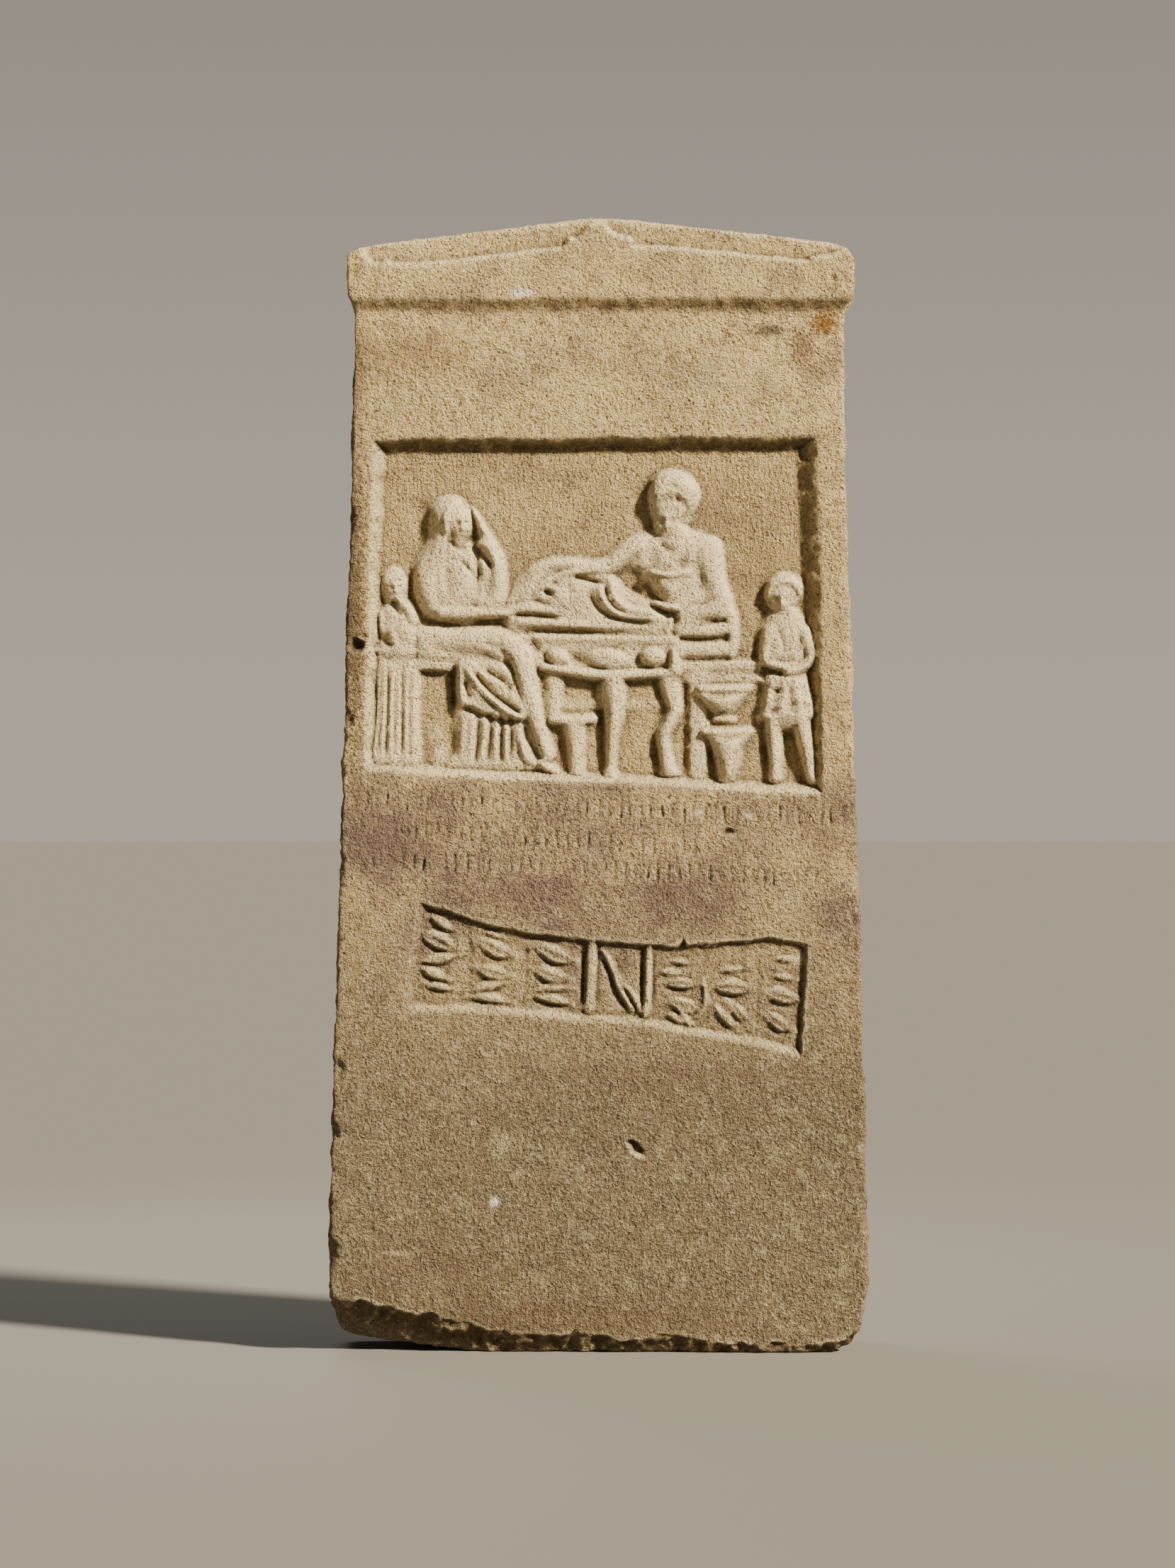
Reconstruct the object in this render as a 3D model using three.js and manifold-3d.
// Carved stone grave stele: a tapering slab under a low gable, with a banquet scene and a tied sheaf
// of leaves sunk in its face. Millimetres, origin under the middle of the base, +Z up, face towards -Y.
//
// Everything is drawn on the stele's own face: x to the right, y up, z out of the stone. The mesh is
// then stood up by one quarter turn about X.
import * as THREE from "three";
import { ConvexGeometry } from "three/addons/geometries/ConvexGeometry.js";
import { mergeVertices } from "three/addons/utils/BufferGeometryUtils.js";
import Module from "manifold-3d";

const wasm = await Module();
wasm.setup();

// Driving dimensions.
const HEIGHT = 1000;
const THICKNESS = 120;
const BASE_HALF = 238; // half width of the shaft near its foot
const NECK_HALF = 216; // half width of the shaft under the cornice
const CORNICE_FOOT = 919; // where the moulding leaves the shaft
const CORNICE_TOP = 933; // where it reaches the fascia
const CORNICE_PROUD = 8; // the gable stands this far in front of the shaft
const GABLE_SUNK = 5; // the ground round the carved gable, below its face
const ARRIS = 4; // worn edges of the slab
const SCENE_DEPTH = 13; // the banquet's ground below the shaft's face
const SHEAF_DEPTH = 5; // the leaf panel's ground below the shaft's face

// Levels along z.
const BACK = -THICKNESS / 2;
const GABLE_FACE = THICKNESS / 2;
const FACE = GABLE_FACE - CORNICE_PROUD;
const SCENE = FACE - SCENE_DEPTH;
const SHEAF = FACE - SHEAF_DEPTH;

// A closed three.js geometry as a solid.
function solid(geometry) {
  geometry.deleteAttribute("normal");
  geometry.deleteAttribute("uv");
  const merged = mergeVertices(geometry, 1e-3);
  return new wasm.Manifold(
    new wasm.Mesh({
      numProp: 3,
      vertProperties: merged.getAttribute("position").array,
      triVerts: new Uint32Array(merged.index.array),
    }),
  );
}

// The convex solid round a list of points.
function hull(points) {
  return solid(new ConvexGeometry(points.map((p) => new THREE.Vector3(...p))));
}

// A flat shape from its corners, carried from one level to another, with its edges cut back by edge.
function plate(corners, from, to, edge = 0) {
  const shape = new THREE.Shape(corners.map((c) => new THREE.Vector2(...c)));
  const options = { depth: to - from - 2 * edge, bevelEnabled: edge > 0 };
  Object.assign(options, { bevelThickness: edge, bevelSize: edge, bevelOffset: -edge, bevelSegments: 1 });
  return solid(new THREE.ExtrudeGeometry(shape, options).translate(0, 0, from + edge));
}

// The same, with a smooth outline through the points.
function softPlate(points, from, to, edge, turns = 14) {
  const curve = new THREE.CatmullRomCurve3(points.map(([x, y]) => new THREE.Vector3(x, y, 0)), true);
  return plate(curve.getPoints(turns).slice(0, -1).map((p) => [p.x, p.y]), from, to, edge);
}

// Corner points of a small round or pointed body: half width, half height, rise above its level.
const ROUND = new THREE.SphereGeometry(1, 10, 6);
const SLIGHT = new THREE.SphereGeometry(1, 8, 4);
const POINTED = new THREE.OctahedronGeometry(1, 0);
const roundFor = (size) => (size < 8.5 ? SLIGHT : ROUND);
function bodyPoints(form, x, y, wide, high, rise, level, turn = 0) {
  const place = new THREE.Matrix4().makeRotationZ((turn * Math.PI) / 180);
  place.setPosition(x, y, level);
  const at = form.getAttribute("position");
  return Array.from({ length: at.count }, (_, i) => {
    const p = new THREE.Vector3().fromBufferAttribute(at, i);
    return p.multiply(new THREE.Vector3(wide, high, rise)).applyMatrix4(place).toArray();
  });
}

// A rounded mass, such as a head or a loaf.
function boss(x, y, wide, high, rise, turn = 0, level = SCENE) {
  return hull(bodyPoints(roundFor(Math.min(wide, high)), x, y, wide, high, rise, level, turn));
}

// A rounded member through stations [x, y, radius, rise], such as an arm or a shin.
function limb(...stations) {
  const ends = stations.map(([x, y, r, rise]) => bodyPoints(roundFor(r), x, y, r, r, rise, SCENE));
  return ends.slice(1).map((end, i) => hull([...ends[i], ...end]));
}

// One soft mass round all its stations [x, y, radius, rise], such as a chest or a lap.
function mass(...stations) {
  return hull(stations.flatMap(([x, y, r, rise]) => bodyPoints(roundFor(r), x, y, r, r, rise, SCENE)));
}

// A ridge with a crest, through [x, y] points, that fades at both ends: a fold of cloth or a stalk.
function ridge(points, halfWidth, rise, level = SCENE) {
  const last = points.length - 1;
  const ends = points.map(([x, y], i) => {
    const size = i === 0 || i === last ? 0.6 : 1;
    return bodyPoints(POINTED, x, y, halfWidth * size, halfWidth * size, rise * size, level);
  });
  return ends.slice(1).map((end, i) => hull([...ends[i], ...end]));
}

// A sunk panel with sloping sides, from its four outer and four inner corners.
function sunkPanel(outer, inner, from, floor) {
  const above = 1 + 1 / (from - floor);
  const rim = outer.map(([x, y], i) => [
    inner[i][0] + (x - inner[i][0]) * above,
    inner[i][1] + (y - inner[i][1]) * above,
    from + 1,
  ]);
  return hull([...rim, ...inner.map(([x, y]) => [x, y, floor])]);
}

const joined = (parts) => parts.flat(Infinity).reduce((all, part) => all.add(part));
const cut = (whole, parts) => parts.flat(Infinity).reduce((all, part) => all.subtract(part), whole);

// ---- the slab and its gable ----

function shaft() {
  const outline = [
    [-115, 0], [206, 0], [222, 8], [230, 20], [234, 34], [BASE_HALF, 60],
    [NECK_HALF, CORNICE_FOOT + 6], [-NECK_HALF, CORNICE_FOOT + 6],
    [-BASE_HALF, 90], [-236, 46], [-231, 21], [-221, 14], [-190, 9], [-149, 5],
  ];
  return plate(outline, BACK, FACE, ARRIS);
}

// The moulding leans out from the shaft to the foot of the gable, on the front and both sides.
function cornice() {
  const section = (left, right, y, front) => [
    [left + ARRIS, y, BACK], [left, y, BACK + ARRIS], [left, y, front],
    [right - ARRIS, y, BACK], [right, y, BACK + ARRIS], [right, y, front],
  ];
  return hull([
    ...section(-NECK_HALF, NECK_HALF, CORNICE_FOOT, FACE),
    ...section(-221, 225, CORNICE_TOP, GABLE_FACE - 1),
    ...section(-221, 225, CORNICE_TOP + 4, GABLE_FACE - 1),
  ]);
}

function gable() {
  const block = [
    [-221, CORNICE_TOP], [225, CORNICE_TOP], [226, 964], [220, 974], [206, 978],
    [60, 995], [12, HEIGHT], [-6, HEIGHT], [-205, 976], [-216, 973], [-222, 965],
  ];
  const carved = [
    [-220, CORNICE_TOP], [224, CORNICE_TOP], [225, 963], [218, 973], [205, 969], [194, 967], [185, 962],
    [29, 976], [26, 982], [18, 984], [6, 993], [-3, 998], [-10, 995], [-18, 985], [-30, 974],
    [-179, 959], [-188, 962], [-199, 957], [-205, 966], [-212, 973], [-221, 966],
  ];
  return [
    plate(block, BACK, GABLE_FACE - GABLE_SUNK, ARRIS - 1),
    plate(carved, FACE - ARRIS, GABLE_FACE, 1),
  ];
}

// ---- the banquet: all its members rise from the sunk ground ----

// A flat member of the furniture, from its corners and its rise.
const board = (rise, ...corners) => plate(corners, SCENE - 3, SCENE + rise, 1);

// The mattress, its rails and a leg of the couch.
function couch() {
  return [
    mass([-62, 624, 9, 5.5], [-30, 625, 10, 6], [58, 622, 9, 6.5], [58, 616, 9, 6]),
    mass([78, 621, 9, 7], [114, 621, 9, 7.5]),
    board(4, [60, 609], [146, 610], [146, 601], [60, 600]),
    board(2, [60, 601], [146, 601], [144, 590], [60, 589]),
    board(2, [-44, 577], [56, 577], [56, 568], [-44, 567]),
    board(2.6, [79, 555], [95, 551], [93, 508], [80, 509]),
  ];
}

// A three-legged table with lion's legs, a small stool before it, and the loaves and cake it bears.
function table() {
  const top = limb(
    [-46, 604, 4.5, 8], [-24, 601, 5, 9.5], [2, 598, 5.5, 10], [32, 599, 5, 9], [68, 602, 4, 8]);
  const middleLeg = limb(
    [13, 590, 9, 9.5], [13, 562, 7.5, 9], [12, 540, 4.5, 8], [11, 522, 4, 7], [9, 512, 6, 8]);
  const rightLeg = limb(
    [62, 590, 10, 6.5], [66, 567, 6.5, 6], [58, 547, 9, 7], [60, 522, 7.5, 6], [62, 512, 8, 6.5]);
  const leftLeg = limb([-37, 594, 8, 4.5], [-39, 563, 8, 4]);
  const stool = [
    ...limb([-38, 557, 4, 7], [-6, 558, 4, 7]),
    ...limb([-22, 552, 9, 6], [-21, 528, 6, 5.5], [-21, 516, 6.5, 5.5]),
  ];
  const food = [
    boss(-32, 612, 9, 7.5, 9, -20),
    boss(-12, 614, 9, 8, 8, -20),
    boss(10, 611, 17, 9.5, 10.5, -6),
    boss(47, 613, 11, 10.5, 10),
    ...limb([65, 617, 3.5, 9], [66, 605, 6, 9.5]),
  ];
  return [top, middleLeg, rightLeg, leftLeg, stool, food];
}

// A wide bowl on a foot, over a stand shaped like an upturned bell.
function mixingBowl() {
  return [
    ...limb([93, 585, 3.5, 8.5], [130, 585, 3.5, 8.5]),
    mass([98, 582, 5, 8], [125, 582, 5, 8], [111, 570, 8, 9]),
    board(5, [103, 563], [118, 563], [121, 556], [100, 556]),
    ...limb([97, 547, 3, 8.5], [131, 547, 3, 8.5]),
    mass([101, 542, 5, 8], [126, 542, 5, 8], [112, 510, 8, 8.5]),
  ];
}

// A man leaning on cushions with a bowl in one hand, his knees drawn up under a cloak.
function reclining() {
  const head = [
    mass([55, 760, 17, 11.5], [71, 760, 17, 12.5], [77, 746, 11, 11]),
    boss(63, 735, 14, 21, 12, 4),
    ...limb([63, 722, 10, 8], [66, 708, 13, 9]),
  ];
  const trunk = mass(
    [38, 705, 11, 8.5], [66, 707, 12, 9.5], [97, 700, 12, 9], [104, 668, 12, 9.5],
    [108, 650, 10, 9], [62, 652, 12, 9.5], [38, 680, 11, 9]);
  const arms = [
    ...limb([37, 706, 10, 9.5], [11, 691, 8, 9], [-24, 690, 7, 9.5], [-40, 684, 5.5, 8]),
    ...limb([100, 700, 11, 10], [110, 664, 11, 11], [84, 656, 7.5, 12], [56, 661, 7, 12]),
  ];
  const bowl = [
    ...limb([49, 687, 3.5, 12.5], [80, 686, 3.5, 12.5]),
    mass([56, 681, 9, 12], [72, 681, 9, 12], [65, 672, 9, 12.5]),
  ];
  const legs = [
    mass(
      [-66, 650, 12, 6.5], [-54, 674, 13, 7], [-32, 686, 14, 8],
      [0, 683, 12, 8], [54, 646, 11, 7], [-60, 643, 9, 6]),
    mass([-26, 672, 18, 9], [-14, 652, 16, 9]),
  ];
  const cloak = [
    ridge([[8, 690], [9, 668], [18, 653], [36, 645], [60, 644]], 6, 12),
    ridge([[20, 688], [22, 674], [31, 662], [48, 656]], 5.5, 12),
    ridge([[-4, 686], [-4, 664], [6, 646], [26, 638], [56, 636]], 5.5, 10.5),
    ridge([[-80, 655], [-52, 657], [-30, 654]], 5.5, 9.5),
    ridge([[-78, 642], [-45, 643], [-8, 640]], 5.5, 9.5),
    ridge([[-74, 668], [-54, 686], [-32, 698]], 5, 9),
    ridge([[82, 706], [79, 696], [82, 688]], 4.5, 12),
    ridge([[54, 706], [50, 694]], 4.5, 12),
  ];
  const cushions = [
    ...limb([72, 647, 7, 9], [106, 649, 7, 9.5], [116, 657, 6, 9]),
    ...limb([76, 635, 7, 9], [115, 637, 8, 9.5]),
  ];
  return [head, trunk, arms, bowl, legs, cloak, cushions];
}

// A veiled woman on a chair who lifts the edge of her veil.
function seatedWoman() {
  const head = [
    mass([-127, 740, 17, 10], [-134, 726, 16, 9.5], [-140, 708, 13, 9.5]),
    boss(-120, 729, 10, 17, 12.5, 6),
    ...limb([-127, 712, 8, 8], [-126, 698, 10, 9]),
  ];
  const body = [
    mass([-148, 700, 13, 10], [-120, 692, 12, 9.5], [-117, 658, 12, 9.5], [-146, 654, 13, 10]),
    ...limb([-150, 694, 12, 11.5], [-150, 668, 12, 12], [-142, 651, 9, 12]),
    ...limb([-142, 650, 8.5, 12], [-110, 648, 7.5, 12], [-82, 651, 5.5, 11]),
  ];
  const raisedArm = [
    ...limb([-112, 672, 9, 9.5], [-91, 661, 9.5, 10], [-86, 690, 8, 9.5], [-97, 711, 7, 9.5]),
    ...ridge([[-110, 748], [-101, 728], [-90, 712]], 5.5, 7),
  ];
  const legs = [
    ...limb([-146, 629, 16, 9.5], [-100, 626, 15, 11], [-73, 620, 15, 11.5]),
    ...limb([-73, 612, 14, 11.5], [-65, 575, 11, 10], [-53, 541, 8, 9], [-46, 523, 6, 8]),
    ...limb([-50, 520, 5.5, 7.5], [-41, 514, 4.5, 7]),
  ];
  const cloak = [
    mass([-117, 600, 11, 7], [-88, 602, 12, 8], [-72, 570, 9, 8], [-96, 569, 9, 7], [-119, 577, 8, 6.5]),
    ridge([[-116, 604], [-103, 586], [-87, 570], [-64, 560]], 5, 11.5),
    ridge([[-110, 608], [-94, 597], [-74, 588]], 4.5, 11),
    ridge([[-125, 606], [-124, 588], [-127, 571]], 4.5, 9.5),
    ridge([[-137, 742], [-138, 700], [-136, 655]], 4.5, 12.5),
    ridge([[-124, 702], [-110, 688], [-107, 672]], 4.5, 12),
  ];
  const hem = softPlate([[-127, 572], [-104, 566], [-66, 560], [-50, 524], [-60, 516], [-128, 518]],
    SCENE - 3, SCENE + 4, 1.2, 14);
  const pleats = [-122, -111, -100, -89, -79, -69].map((x, i) =>
    ridge([[x, 570 - i], [x, 542], [x - 2 + i, 519]], 5, 8.5));
  const chair = [
    board(4.5, [-160, 613], [-122, 609], [-122, 600], [-160, 602]),
    board(3.5, [-128, 606], [-119, 604], [-119, 570], [-128, 571]),
  ];
  return [head, body, raisedArm, legs, cloak, hem, pleats, chair];
}

// A small maid in a long dress, one hand raised to her chin.
function maid() {
  const skirt = [
    board(3.5, [-193, 624], [-159, 624], [-158, 560], [-160, 519], [-201, 522], [-197, 560]),
    ...limb([-190, 622, 4, 5.5], [-162, 623, 4, 6]),
  ];
  const folds = [-193, -182, -171, -163].map((x, i) =>
    ridge([[x + 1, 616], [x, 570], [x - 3 + i, 521]], 4.5, 7));
  return [
    mass([-181, 681, 10, 6], [-180, 668, 10, 6.5]),
    mass([-188, 650, 8, 5.5], [-169, 648, 9, 6.5], [-169, 629, 10, 7], [-186, 630, 8, 5.5]),
    ...limb([-170, 640, 5, 8], [-176, 662, 4, 7.5]),
    skirt, folds,
  ];
}

// A boy in a short belted tunic, with a ladle in his hands.
function cupBearer() {
  const head = [
    mass([158, 675, 12, 10], [169, 674, 12, 10.5]),
    boss(164, 662, 13, 18, 10.5, 8),
    ...limb([168, 648, 6, 8], [168, 638, 8, 8.5]),
  ];
  const tunic = [
    mass([153, 634, 8, 8], [179, 634, 8, 8.5], [157, 604, 9, 8], [175, 604, 9, 8.5]),
    mass([157, 600, 9, 8], [174, 600, 9, 8.5], [146, 566, 7, 7.5], [184, 567, 7, 8], [165, 563, 7, 8]),
    ridge([[165, 594], [168, 578], [174, 562]], 4.5, 10.5),
    ridge([[153, 588], [149, 575], [146, 563]], 4.5, 10),
  ];
  const arms = [
    ...limb([151, 634, 7, 9.5], [147, 613, 6, 9.5], [170, 602, 5, 11]),
    ...limb([182, 634, 7, 9.5], [185, 612, 6, 9.5], [172, 603, 5, 11]),
  ];
  const ladle = [boss(157, 592, 7.5, 7.5, 11), ridge([[137, 598], [150, 591]], 3, 4)];
  const legs = [
    ...limb([154, 562, 8, 7], [155, 535, 6.5, 6.5], [155, 512, 6, 6]),
    ...limb([176, 562, 9, 7], [183, 532, 7, 7], [185, 510, 6, 7], [194, 504, 4, 6]),
  ];
  return [head, tunic, arms, ladle, legs];
}

function banquet() {
  return joined([couch(), table(), mixingBowl(), reclining(), seatedWoman(), maid(), cupBearer()]);
}

// ---- the inscription: rows of upright strokes that spell nothing ----

const STROKE_HEIGHT = 16;
const STROKE_DEPTH = 1.2;
const STROKE_PITCH = 9.5;

// One shallow V-cut between two points.
function stroke([ax, ay], [bx, by]) {
  const along = new THREE.Vector2(bx - ax, by - ay).setLength(0.9);
  const side = [-along.y, along.x];
  const rim = [[ax, ay], [bx, by]].flatMap(([x, y]) =>
    [1, -1].map((way) => [x + way * side[0], y + way * side[1], FACE + 0.4]));
  return hull([...rim, [ax, ay, FACE - STROKE_DEPTH], [bx, by, FACE - STROKE_DEPTH]]);
}

function inscription() {
  const rows = [[-216, 489, 216, 473], [-180, 463, 86, 447], [-211, 436, 195, 419]];
  return rows.flatMap(([x0, y0, x1, y1], row) => {
    const count = Math.floor((x1 - x0) / STROKE_PITCH);
    return Array.from({ length: count }, (_, i) => {
      const x = x0 + i * STROKE_PITCH;
      const y = y0 + ((y1 - y0) * i) / count;
      const lean = 0.7 * Math.sin(2.4 * i + row);
      const half = (STROKE_HEIGHT / 2) * (0.85 + 0.15 * Math.sin(3.7 * i + 2 * row));
      return stroke([x - lean, y - half], [x + lean, y + half]);
    });
  });
}

// ---- the sheaf of leaves ----

function sheafHollow() {
  const outline = [
    [-152, 391], [-106, 376], [-58, 365], [0, 360], [70, 355], [119, 357], [180, 359],
    [174, 277], [132, 286], [65, 294], [8, 302], [-70, 308], [-118, 315], [-164, 314],
  ];
  const shape = new THREE.Shape(outline.map((c) => new THREE.Vector2(...c)));
  const options = { depth: SHEAF_DEPTH, bevelThickness: SHEAF_DEPTH, bevelSize: 5, bevelSegments: 1 };
  return solid(new THREE.ExtrudeGeometry(shape, options).translate(0, 0, FACE));
}

// Leaves in bunches, [x, y, turn in degrees] each, and the ribbons that tie them.
function sheaf() {
  const bunches = [
    [-139, 378, -20], [-142, 364, -16], [-143, 350, -14], [-144, 337, -14],
    [-93, 359, -16], [-96, 343, -14], [-98, 328, -10], [-99, 315, -6],
    [-42, 356, -18], [-43, 341, -14], [-43, 327, -12], [-43, 314, -10],
    [70, 333, -8], [71, 320, -10], [72, 308, -16], [74, 297, -24],
    [118, 327, -5], [114, 317, -12], [124, 305, -34], [108, 294, -44],
    [160, 326, -14], [160, 313, -14], [158, 300, -18], [158, 287, -18],
  ];
  const leaves = bunches.map(([x, y, turn]) => boss(x, y, 20, 5.5, 4, turn, SHEAF));
  const ribbons = [
    [[-12, 360], [-4, 360], [-6, 304], [-14, 304]],
    [[0, 360], [8, 358], [36, 300], [29, 300]],
    [[40, 358], [48, 358], [47, 298], [39, 298]],
    [[90, 354], [95, 354], [95, 298], [90, 298]],
  ];
  return joined([leaves, ribbons.map((band) => plate(band, SHEAF - 2, SHEAF + 3.2, 0.8))]);
}

// ---- breaks ----

// Chips along an edge: at each station [x, y, height up the face, depth under it], in one level plane.
function brokenFoot() {
  const stations = [
    [-250, 54, 70], [-222, 48, 34], [-185, 41, 26], [-148, 35, 22], [-108, 25, 18], [-68, 17, 13],
    [-20, 18, 12], [20, 14, 10], [66, 17, 12], [112, 11, 9], [158, 9, 8], [205, 12, 10], [250, 24, 20],
  ];
  const corner = ([x, up, back]) =>
    [[x, up, FACE + 0.5], [x, -5, FACE - back], [x, -5, FACE + 5], [x, up, FACE + 5]];
  return stations.slice(1).map((station, i) => hull([...corner(stations[i]), ...corner(station)]));
}

function scars() {
  return [
    hull(bodyPoints(ROUND, 32, 180, 12, 4.5, 4, FACE, -50)), // gouge in the lower face
    hull(bodyPoints(ROUND, -214, 626, 6, 8, 6, FACE)), // pit beside the maid
    hull(bodyPoints(ROUND, -237, 196, 6, 9, 9, FACE)), // notch in the left edge
    hull(bodyPoints(ROUND, -241, 88, 8, 22, 12, FACE)),
    hull(bodyPoints(ROUND, 240, 300, 6, 16, 8, FACE)),
  ];
}

const scenePanel = sunkPanel(
  [[-199, 807], [195, 810], [199, 497], [-206, 517]],
  [[-187, 795], [177, 798], [188, 503], [-197, 523]],
  FACE, SCENE);

function stele() {
  const block = joined([shaft(), cornice(), gable()]);
  const hollowed = cut(block, [scenePanel, sheafHollow()]);
  return cut(joined([hollowed, banquet(), sheaf()]), [inscription(), brokenFoot(), scars()]);
}

// A solid back as a three.js mesh.
function meshOf(made, material) {
  const { vertProperties, triVerts } = made.getMesh();
  const geometry = new THREE.BufferGeometry();
  geometry.setAttribute("position", new THREE.BufferAttribute(vertProperties, 3));
  geometry.setIndex(new THREE.BufferAttribute(triVerts, 1));
  geometry.computeVertexNormals();
  return new THREE.Mesh(geometry, material);
}

const sandstone = new THREE.MeshStandardMaterial({ color: 0xb29c78, roughness: 0.92, metalness: 0 });
sandstone.flatShading = true;

const steleMesh = meshOf(stele(), sandstone);
steleMesh.name = "stele";
steleMesh.rotation.x = Math.PI / 2;

const part = new THREE.Group();
part.add(steleMesh);

export default part;
